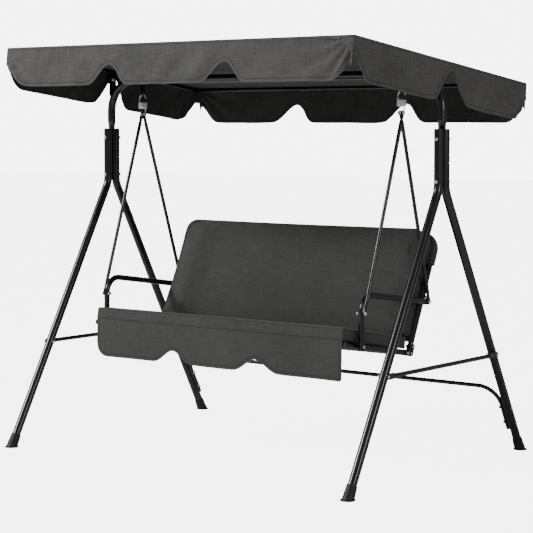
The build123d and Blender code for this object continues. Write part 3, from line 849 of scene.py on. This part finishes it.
def pull_in(points, t, side, end, weight=1.0):
    """Draw the sides in by up to side along x, and the two ends by up to end along y."""
    across, along = t[:, 0], t[:, 1]
    points[:, 0] -= np.sign(across - 0.5) * side * np.sin(np.pi * along) * (
        np.abs(across - 0.5) * 2) ** 8
    points[:, 1] += np.where(along < 0.5, 1, -1) * end * np.sin(np.pi * across) * (
        np.abs(along - 0.5) * 2) ** 8 * weight


def crown_up(points, t, power, height, depth, waves):
    """Raise the middle of a pad's face, and press soft dimples of the given depth in it."""
    across, along, rise = t.T
    crown = (1 - (2 * across - 1) ** power) * (1 - (2 * along - 1) ** 4)
    dimple = np.array([
        noise.noise(Vector((p[0] * waves[0], p[1] * waves[1], waves[2]))) for p in points
    ])
    points[:, 2] += height * crown * ease((rise - 0.4) / 0.5)
    points[:, 2] += depth * dimple * ease((rise - 0.6) / 0.3) * crown


def swell(pad, points, floor, face_cap, side_cap):
    """Inflate a pad of these points by up to the two caps, and keep its back flat."""
    set_points(pad, points)
    normals = np.array([v.normal for v in pad.data.vertices])
    cap = np.where(normals[:, 2] > 0.5, face_cap, side_cap)
    inflate(pad, normals[:, 2] < -0.6, cap)
    points = points_of(pad)
    points[:, 2] = np.maximum(points[:, 2], floor)
    set_points(pad, points)


def dress_cushion(obj, place):
    set_box_uv(obj, place)
    paint(obj, "cushion_cloth")
    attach(obj, "seat")


class SWING_OT_seat_cushion(bpy.types.Operator):
    """Make the long seat cushion: a boxed pad with a crowned top and a corded seam"""

    bl_idname = "swing.seat_cushion"
    bl_label = "Seat cushion"

    def execute(self, context):
        sizes = context.scene.swing_sizes
        low, high = local_box(SEAT, "seat_cushion")
        low, high = low + (0.001, 0.001, 0.0005), high - (0.001, 0.002, 0.003)
        pad = blank("seat_cushion_pad", low, high, 0.006, 0.003, both_rims=True)
        voxel(pad, 0.0074)
        points = points_of(pad)
        t = (points - low) / (high - low)
        pull_in(points, t, 0.0035, 0.0012)
        crown_up(points, t, 8, 0.0022, 0.0015, (5, 9, 0.2))
        swell(pad, points, low[2], sizes.puff * 0.33, 0.0018)
        cords = []
        for name, level in (("top", high[2] - 0.001), ("bottom", low[2] + 0.003)):
            path = snapped(pad, loop_path(low, high, level, 0.011), 0.0004)
            cords.append(tube(f"seat_cushion_{name}_cord", SEAT.out(path), sizes.cord, 6))
        set_points(pad, SEAT.out(points_of(pad)))
        smooth_by_angle(pad, 60)
        for obj in (pad, *cords):
            dress_cushion(obj, SEAT)
        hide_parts("seat_cushion")
        return {"FINISHED"}


class SWING_OT_back_cushion(bpy.types.Operator):
    """Make the back cushion, and the hood that slips over the back frame's top rail"""

    bl_idname = "swing.back_cushion"
    bl_label = "Back cushion"

    def execute(self, context):
        sizes = context.scene.swing_sizes
        low, high = local_box(BACK, "back_cushion")
        crest = local_box(BACK, "back_frame")[1][1] - RAIL_R      # centre line of the top rail
        # The box of the CAD cushion includes its hood, so the pad's own corners are set inside it.
        pad_low = np.array((-0.578, 0.056, 0.0142))
        pad_high = np.array((0.578, crest + 0.004, high[2] - 0.001))
        pad = blank("back_cushion_pad", pad_low, pad_high, 0.052, 0.011, False, 0.012)
        voxel(pad, 0.0076)
        points = points_of(pad)
        t = (points - pad_low) / (pad_high - pad_low)
        pull_in(points, t, 0.006, 0.003, t[:, 2])
        # In front the lower edge droops on to the seat cushion.
        points[:, 1] -= 0.013 * ease((points[:, 2] - 0.045) / 0.032) * ease(1 - t[:, 1] / 0.12)
        crown_up(points, t, 6, 0.006, 0.003, (4, 7, 3.2))
        swell(pad, points, pad_low[2], sizes.puff, 0.0025)
        inset = (0.001, 0.001, 0)
        path = loop_path(pad_low + inset, pad_high - inset, pad_high[2] - 0.010, 0.050)
        path = snapped(pad, path, 0.0003)
        cord = tube("back_cushion_cord", BACK.out(path), sizes.cord, 6)
        set_points(pad, BACK.out(points_of(pad)))
        smooth_by_angle(pad, 60)
        for obj in (pad, cord):
            dress_cushion(obj, BACK)
        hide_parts("back_cushion")

        # The hood: a pocket open at the bottom, from front panel over the rail to rear panel.
        wall = 0.0014
        hood_low = np.array((low[0] + wall, crest - 0.112, low[2] + wall))
        hood_high = np.array((high[0] - wall, high[1] - wall, 0.0139))
        size = hood_high - hood_low
        hood = box_between("back_hood", hood_low, hood_high)
        bevel_edges(
            hood, 0.072, 10,
            lambda a, b: abs(a[2] - b[2]) > size[2] / 2 and a[1] > hood_low[1] + 0.02,
        )
        bevel_edges(
            hood, 0.008, 3,
            lambda a, b: abs(a[2] - b[2]) < 1e-5 and min(a[1], b[1]) > hood_low[1] - 1e-5
            and max(a[1], b[1]) > hood_low[1] + 1e-3,
        )
        bpy.context.tool_settings.mesh_select_mode = (False, False, True)
        for face in hood.data.polygons:
            face.select = bool(face.normal.y < -0.99)
        bpy.ops.object.mode_set(mode="EDIT")
        bpy.ops.mesh.delete(type="FACE")
        for axis, cuts in ((0, 60), (1, 9)):
            normal = np.eye(3)[axis]
            for k in range(1, cuts):
                spot = normal * (hood_low[axis] + size[axis] * k / cuts)
                bpy.ops.mesh.select_all(action="SELECT")
                bpy.ops.mesh.bisect(plane_co=tuple(spot), plane_no=tuple(normal))
        bpy.ops.object.mode_set(mode="OBJECT")
        points = points_of(hood)
        free = ease((hood_high[1] - 0.01 - points[:, 1]) / 0.05)
        wave = np.array([
            noise.noise(Vector((p[0] * 9, p[1] * 3.5, 1.4 if p[2] > 0 else 5.1))) for p in points
        ])
        points[:, 2] -= np.where(points[:, 2] < -0.005, 0.0025 * (1 + wave) * free, 0)
        set_points(hood, BACK.out(points))
        set_box_uv(hood, BACK)
        add_value(hood, "hem", points[:, 1] - hood_low[1])
        add_value(hood, "run", points[:, 0])
        thicken(hood, wall)
        smooth_by_angle(hood, 50)
        paint(hood, "cushion_hem_cloth")
        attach(hood, "seat")
        return {"FINISHED"}


# ---- sheets of the seat
def grid_sheet(name, columns, rows, at, wall):
    """A sheet of columns by rows points: at(column, row) gives place, uv, hem and run."""
    points, uv, hem, run = [], [], [], []
    for c in range(columns):
        for r in range(rows):
            place, mapped, near, along = at(c, r)
            points.append(place)
            uv.append(mapped)
            hem.append(near)
            run.append(along)
    faces = [
        (c * rows + r, c * rows + r + 1, (c + 1) * rows + r + 1, (c + 1) * rows + r)
        for c in range(columns - 1) for r in range(rows - 1)
    ]
    obj = new_mesh(name, points, faces)
    set_uv(obj, uv)
    add_value(obj, "hem", hem)
    add_value(obj, "run", run)
    thicken(obj, wall)
    smooth_by_angle(obj, 50)
    return obj


def run_along(path):
    """How far along a path each of its points is."""
    steps = np.linalg.norm(np.diff(np.array(path), axis=0), axis=1)
    return np.concatenate(([0], np.cumsum(steps)))


class SWING_OT_seat_valance(bpy.types.Operator):
    """Make the lobed valance that hangs in front of the seat"""

    bl_idname = "swing.seat_valance"
    bl_label = "Seat valance"

    def execute(self, context):
        wall = context.scene.swing_sizes.cloth
        low, high = (np.array(c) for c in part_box("seat_valance"))
        face_y = (low[1] + high[1]) / 2
        half, top, deep = high[0] + 0.003, high[2] + 0.001, high[2] - low[2]
        notch, notch_drop = 0.195, deep - 0.047
        xs = dense([-half, -notch, notch, half], 0.014)
        drop = hem_line(xs, deep, [
            (-notch, notch_drop, 0.090, 0.085, 1.25), (notch, notch_drop, 0.095, 0.110, 1.25),
        ])
        # The left lower corner is cut with a large radius and the right one is nearly square.
        for side, radius in ((-1, 0.056), (1, 0.008)):
            inside = np.clip(1 - (half - side * xs) / radius, 0, 1)
            drop -= radius * (1 - np.sqrt(np.maximum(0, 1 - inside**2)))
        slope = np.gradient(drop, xs)
        rows = 22

        def at(c, r):
            x, t = xs[c], r / (rows - 1)
            depth = drop[c] * t
            low_part = (depth / deep) ** 1.5
            push = 0.0026 * math.sin(x * 9.3 + 0.5) + 0.0012 * math.sin(x * 23 + 1.0)
            near = (drop[c] - depth) / math.sqrt(1 + slope[c] ** 2)
            near = min(near, half - abs(x) + 0.001)
            return (x, face_y - (0.0030 + push) * low_part, top - depth), (x, top - depth), near, x

        sheet = grid_sheet("seat_valance_sheet", len(xs), rows, at, wall)
        paint(sheet, "cushion_hem_cloth")
        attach(sheet, "seat")
        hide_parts("seat_valance")
        return {"FINISHED"}


class SWING_OT_slings(bpy.types.Operator):
    """Make the woven slings that carry the two cushions"""

    bl_idname = "swing.slings"
    bl_label = "Seat and back slings"

    def execute(self, context):
        wall, gap = 0.0014, 0.0011
        wrap = RAIL_R + gap
        rear = SEAT.into(middle("seat_rear_rail"))[1]
        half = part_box("seat_front_rail")[1][0] - 0.020
        # The profile wraps the front rail, runs to the rear rail and wraps that.
        profile = [(wrap * math.cos(a), wrap * math.sin(a))
                   for a in np.radians(np.arange(250, 89, -10))]
        profile += [(rear * k / 24, wrap - 0.0004) for k in range(1, 24)]
        profile += [(rear + wrap * math.cos(a), wrap * math.sin(a))
                    for a in np.radians(np.arange(90, -71, -10))]
        run = run_along(profile)
        xs = np.linspace(-half, half, 61)

        def seat_at(c, r):
            y, z = profile[r]
            near = min(half - abs(xs[c]), run[r], run[-1] - run[r])
            return tuple(SEAT.out((xs[c], y, z))), (xs[c], run[r]), near, xs[c]

        seat = grid_sheet("seat_sling_sheet", len(xs), len(profile), seat_at, wall)
        paint(seat, "sling_weave")
        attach(seat, "seat")
        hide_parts("seat_sling")

        # The back sling is drawn over the two uprights of the back frame.
        low, high = local_box(BACK, "back_sling")
        tube_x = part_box("back_frame")[1][0] - RAIL_R
        level = low[2] + wall / 2 + 0.0002
        edge = [(tube_x + wrap * math.cos(a), wrap * math.sin(a))
                for a in np.radians(np.arange(20, 91, 7))]
        flat_half = np.linspace(0, tube_x, 36)[1:-1][::-1]
        right = edge + [(x, level) for x in flat_half]
        across = [(-x, z) for x, z in right] + [(0.0, level)] + right[::-1]
        reach = run_along(across)
        ys = np.linspace(low[1], high[1] - 0.065, 26)

        def back_at(c, r):
            x, z = across[c]
            near = min(reach[c], reach[-1] - reach[c], ys[r] - ys[0], ys[-1] - ys[r])
            return tuple(BACK.out((x, ys[r], z))), (reach[c], ys[r]), near, ys[r]

        back = grid_sheet("back_sling_sheet", len(across), len(ys), back_at, wall)
        paint(back, "sling_weave")
        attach(back, "seat")
        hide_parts("back_sling")
        return {"FINISHED"}


# ---- springs
WIRE_R = 0.00245
COIL_Z = (1.29900, 1.32800)     # the wound part's lowest and highest level
COIL_TURNS = 4.25
STEPS_A_TURN = 28
TOP_HOOK_R = 0.0157             # to the middle of the wire
LOW_HOOK_R = 0.0115


def hermite(p, q, dp, dq, count):
    p, q, dp, dq = (np.array(v, float) for v in (p, q, dp, dq))
    points = []
    for k in range(1, count):
        t = k / count
        points.append(
            (2 * t**3 - 3 * t**2 + 1) * p + (t**3 - 2 * t**2 + t) * dp
            + (3 * t**2 - 2 * t**3) * q + (t**3 - t**2) * dq
        )
    return points


class SWING_OT_springs(bpy.types.Operator):
    """Wind the two bright extension springs, with a hook at each end"""

    bl_idname = "swing.springs"
    bl_label = "Springs"

    def execute(self, context):
        for side in ("left", "right"):
            low, high = (np.array(c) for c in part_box(f"spring_{side}"))
            middle_x = (low[0] + high[0]) / 2
            ring = (high[0] - low[0]) / 2 - WIRE_R
            coil_low, coil_high = COIL_Z[0] + WIRE_R, COIL_Z[1] - WIRE_R
            path = []
            centre = low[2] + WIRE_R + LOW_HOOK_R
            for a in np.radians(range(-215, 1, 12)):
                y, z = LOW_HOOK_R * math.cos(a), LOW_HOOK_R * math.sin(a)
                path.append(np.array((0, y, centre + z)))
            start = np.array((0, ring, coil_low))
            path += hermite(path[-1], start, (0, 0, 0.016), (-0.022, 0, 0.001), 8)
            count = int(COIL_TURNS * STEPS_A_TURN)
            for k in range(count + 1):
                a = math.pi / 2 + COIL_TURNS * 2 * math.pi * k / count
                z = coil_low + (coil_high - coil_low) * k / count
                path.append(np.array((ring * math.cos(a), ring * math.sin(a), z)))
            centre = high[2] - WIRE_R - TOP_HOOK_R
            first = np.array((-TOP_HOOK_R, 0, centre))
            path += hermite(path[-1], first, (0, -0.018, 0.001), (0, 0, 0.020), 8)
            for a in np.radians(range(180, -6, -12)):
                x, z = TOP_HOOK_R * math.cos(a), TOP_HOOK_R * math.sin(a)
                path.append(np.array((x, 0, centre + z)))
            path = np.array(path) + (middle_x, 0, 0)
            spring = tube(f"spring_wire_{side}", path, WIRE_R, 12, closed=False)
            paint(spring, "spring_wire")
            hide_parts(f"spring_{side}")
            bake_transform(spring)
        return {"FINISHED"}


# ---- finishes and stage
class SWING_OT_finishes(bpy.types.Operator):
    """Make the cloth, powder coat, plastic and zinc, and give the frame its finishes"""

    bl_idname = "swing.finishes"
    bl_label = "Finishes"

    def execute(self, context):
        colours = context.scene.swing_colours
        canopy, cushion = tuple(colours.canopy), tuple(colours.cushion)
        # The canopy's inside is the same cloth made darker: painted shade for its underside.
        shaded_inner_face = tuple(c * 0.52 for c in canopy)
        make_cloth("canopy_cloth", canopy, 0.0011, True)
        make_cloth("canopy_lining", shaded_inner_face, 0.0011, True)
        make_cloth("cushion_cloth", cushion, 0.0012, False, 0.36)
        make_cloth("cushion_hem_cloth", cushion, 0.0012, True, 0.34)
        make_sling(cushion)
        make_powder_coat(tuple(colours.frame))
        make_plastic(tuple(colours.frame))
        make_zinc("bright_zinc", tuple(colours.zinc), 0.9)
        make_zinc("spring_wire", (0.86, 0.87, 0.88), 0.55)
        finish_of = {
            "powder_coat": "powder_coat", "black_plastic": "moulded_plastic",
            "zinc_steel": "bright_zinc", "spring_steel": "bright_zinc",
        }
        for obj in NODES.values():
            for slot in obj.material_slots:
                old = slot.material.name if slot.material else ""
                key = next((k for k in finish_of if k in old), None)
                if key:
                    slot.material = MATERIALS[finish_of[key]]
        return {"FINISHED"}


class SWING_OT_stage(bpy.types.Operator):
    """Set the camera, the pale floor and the soft light"""

    bl_idname = "swing.stage"
    bl_label = "Stage"

    def execute(self, context):
        scene = context.scene
        deselect_all()
        bpy.ops.object.camera_add(location=(4.0375, -5.2347, 1.2304))
        camera = context.object
        camera.rotation_euler = (math.radians(90 - 2.913), 0, math.radians(37.59))
        camera.data.sensor_width = 36
        camera.data.lens = 117.70
        camera.data.shift_y = -0.097
        camera.data.dof.use_dof = False
        scene.camera = camera

        deselect_all()
        bpy.ops.mesh.primitive_plane_add(size=60, location=(0, 0, 0))
        floor = context.object
        floor.name = "studio_floor"
        floor_look = Shader("studio_floor")
        at = floor_look.node("ShaderNodeTexCoord").outputs["Object"]
        shade = floor_look.noise(at, 0.6, 2.0, 0.5)
        floor_look.surface(
            Base_Color=floor_look.mix(shade, (0.93, 0.93, 0.93, 1), (0.95, 0.95, 0.95, 1)),
            Roughness=0.75, Specular_IOR_Level=0.1,
        )
        # The floor is white to look at, and lights the bench only as pale paper would.
        seen = floor_look.node("ShaderNodeLightPath").outputs["Is Camera Ray"]
        glow = floor_look.node("ShaderNodeEmission", Color=(1, 1, 1, 1), Strength=7.0)
        blend = floor_look.tree.nodes.new("ShaderNodeMixShader")
        floor_look.put(blend.inputs[0], floor_look.sock(seen) * 0.8)
        floor_look.put(blend.inputs[1], floor_look.bsdf.outputs[0])
        floor_look.put(blend.inputs[2], glow.outputs[0])
        output = next(n for n in floor_look.tree.nodes if n.type == "OUTPUT_MATERIAL")
        floor_look.put(output.inputs[0], blend.outputs[0])
        floor.data.materials.append(floor_look.material)

        world = bpy.data.worlds.new("studio")
        world.use_nodes = True
        tree = world.node_tree
        back = tree.nodes["Background"]
        back.inputs["Color"].default_value = (1, 1, 1, 1)
        path = Sock(tree, tree.nodes.new("ShaderNodeLightPath").outputs["Is Camera Ray"])
        tree.links.new((path * 6.0 + 0.27).value, back.inputs["Strength"])
        scene.world = world
        for name, place, aim, size, power in (
            ("key", (-3.7, -4.4, 4.0), (0, -0.3, 0.9), 1.6, 410),
            ("fill", (4.8, -1.2, 2.0), (0.6, 0, 0.9), 1.2, 44),
        ):
            deselect_all()
            bpy.ops.object.light_add(type="AREA", location=place)
            lamp = context.object
            lamp.name = name
            lamp.data.shape = "DISK"
            lamp.data.size = size
            lamp.data.energy = power
            lamp.rotation_euler = (Vector(aim) - Vector(place)).to_track_quat("-Z", "Y").to_euler()
        return {"FINISHED"}


class SWING_PT_panel(bpy.types.Panel):
    """Buttons that make the swing bench, piece by piece"""

    bl_idname = "SWING_PT_panel"
    bl_label = "Swing Bench"
    bl_space_type = "VIEW_3D"
    bl_region_type = "UI"
    bl_category = "Swing Bench"

    def draw(self, context):
        column = self.layout.column()
        for group in (context.scene.swing_sizes, context.scene.swing_colours):
            for key in group.bl_rna.properties.keys():
                if key not in ("rna_type", "name"):
                    column.prop(group, key)
        for operator in PIECES:
            column.operator(operator.bl_idname)


PIECES = (
    SWING_OT_stage, SWING_OT_finishes, SWING_OT_canopy, SWING_OT_seat_cushion,
    SWING_OT_back_cushion, SWING_OT_seat_valance, SWING_OT_slings, SWING_OT_springs,
)
CLASSES = (SWING_PG_sizes, SWING_PG_colours, *PIECES, SWING_PT_panel)


def register():
    for item in CLASSES:
        bpy.utils.register_class(item)
    bpy.types.Scene.swing_sizes = PointerProperty(type=SWING_PG_sizes)
    bpy.types.Scene.swing_colours = PointerProperty(type=SWING_PG_colours)


def unregister():
    del bpy.types.Scene.swing_colours
    del bpy.types.Scene.swing_sizes
    for item in reversed(CLASSES):
        bpy.utils.unregister_class(item)


def main():
    register()
    for operator in PIECES:
        family, name = operator.bl_idname.split(".")
        getattr(getattr(bpy.ops, family), name)()


if __name__ == "__main__":
    main()
